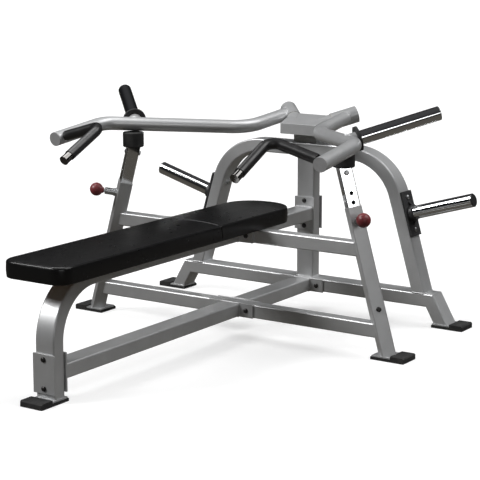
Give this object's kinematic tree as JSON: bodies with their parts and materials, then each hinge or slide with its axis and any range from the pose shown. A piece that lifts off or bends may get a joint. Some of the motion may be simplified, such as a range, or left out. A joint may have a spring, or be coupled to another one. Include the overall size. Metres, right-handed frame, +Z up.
{
  "type": "leverage bench press machine",
  "caption": "Flat bench in a tube frame with independent weight-loaded press arms on slanted pivots, adjustable arm rests and plate storage horns.",
  "frame": {"origin": "on the floor under the middle of the bounding box", "axes": "X across the bench, with the right-hand side at +X seen from the foot end; +Y along the bench from the foot end to the column; +Z up"},
  "size_m": [1.434, 1.7463, 0.8489],
  "materials": {
    "frame": "satin grey powder coat",
    "arm_paint": "satin grey powder coat",
    "shaft": "ground steel",
    "zinc_bolt": "zinc plated",
    "zinc_pin": "zinc plated",
    "spring": "spring wire",
    "foot_rubber": "matte moulded rubber",
    "black_steel": "satin black paint",
    "chrome": "polished chrome",
    "chrome_post": "polished chrome",
    "horn_chrome": "polished chrome",
    "handle_chrome": "polished chrome",
    "black_plastic": "moulded plastic",
    "plug_grey": "grey moulded plastic",
    "bush_nylon": "nylon",
    "vinyl": "black upholstery vinyl over foam",
    "plywood": "plywood",
    "black_bolt": "black oxide",
    "knob": "gloss dark red",
    "bumper_rubber": "moulded rubber",
    "grip_foam": "fine ribbed grip",
    "collar_rubber": "moulded rubber"
  },
  "bodies": {
    "frame": {"front_rail": "frame", "rear_rail": "frame", "front_base_beam": "frame", "rear_base_beam": "frame", "upper_cross_beam": "frame", "lower_cross_beam": "frame", "rear_cross_beam": "frame", "column": "frame", "arch": "frame", "pivot_head": "frame", "left_pivot_shaft": "shaft", "right_pivot_shaft": "shaft", "zinc_fasteners": "zinc_bolt", "left_upright": "frame", "right_upright": "frame", "clamp_plates": "frame", "foot_plates": "frame", "foot_shoes": "foot_rubber", "left_storage_bracket": "black_steel", "right_storage_bracket": "black_steel", "left_storage_horn": "chrome", "right_storage_horn": "chrome", "storage_horn_caps": "black_plastic", "seat_pad": "vinyl", "pad_board": "plywood", "frame_bolts": "black_bolt", "left_pin_housing": "zinc_pin", "right_pin_housing": "zinc_pin", "left_pin_spring": "spring", "right_pin_spring": "spring"},
    "left_arm": {"left_press_arm": "arm_paint", "left_pivot_sleeve": "arm_paint", "left_pivot_bushes": "bush_nylon", "left_arm_plugs": "plug_grey", "left_handle_bar": "handle_chrome", "left_handle_grip": "grip_foam", "left_handle_cap": "handle_chrome", "left_weight_horn": "horn_chrome", "left_horn_collar": "collar_rubber", "left_horn_cap": "black_plastic"},
    "left_post": {"left_bumper_post": "chrome_post", "left_bumper": "bumper_rubber", "left_bumper_bolt": "zinc_bolt"},
    "left_pull_pin": {"left_pull_pin": "zinc_pin", "left_pull_knob": "knob"},
    "right_arm": {"right_press_arm": "arm_paint", "right_pivot_sleeve": "arm_paint", "right_pivot_bushes": "bush_nylon", "right_arm_plugs": "plug_grey", "right_handle_bar": "handle_chrome", "right_handle_grip": "grip_foam", "right_handle_cap": "handle_chrome", "right_weight_horn": "horn_chrome", "right_horn_collar": "collar_rubber", "right_horn_cap": "black_plastic"},
    "right_post": {"right_bumper_post": "chrome_post", "right_bumper": "bumper_rubber", "right_bumper_bolt": "zinc_bolt"},
    "right_pull_pin": {"right_pull_pin": "zinc_pin", "right_pull_knob": "knob"}
  },
  "joints": [
    {"name": "right_arm_lift", "type": "hinge", "parent": "frame", "child": "right_arm", "pos_m": [0.119, 0.8148, 0.738], "axis": [-0.6807, -0.6807, -0.2706], "range_deg": [0, 42]},
    {"name": "right_post_height", "type": "slide", "parent": "frame", "child": "right_post", "axis": [-0.2773, 0, 0.9608], "range_m": [-0.096, 0]},
    {"name": "right_pin_pull", "type": "slide", "parent": "frame", "child": "right_pull_pin", "axis": [0.6794, -0.7071, 0.1961], "range_m": [0, 0.012], "stiffness_N_per_m": 900, "springref_m": -0.004, "deforming": ["right_pin_spring"]},
    {"name": "left_arm_lift", "type": "hinge", "parent": "frame", "child": "left_arm", "pos_m": [-0.119, 0.8148, 0.738], "axis": [-0.6807, 0.6807, 0.2706], "range_deg": [0, 42]},
    {"name": "left_post_height", "type": "slide", "parent": "frame", "child": "left_post", "axis": [0.2773, 0, 0.9608], "range_m": [-0.096, 0]},
    {"name": "left_pin_pull", "type": "slide", "parent": "frame", "child": "left_pull_pin", "axis": [-0.6794, -0.7071, 0.1961], "range_m": [0, 0.012], "stiffness_N_per_m": 900, "springref_m": -0.004, "deforming": ["left_pin_spring"]}
  ]
}
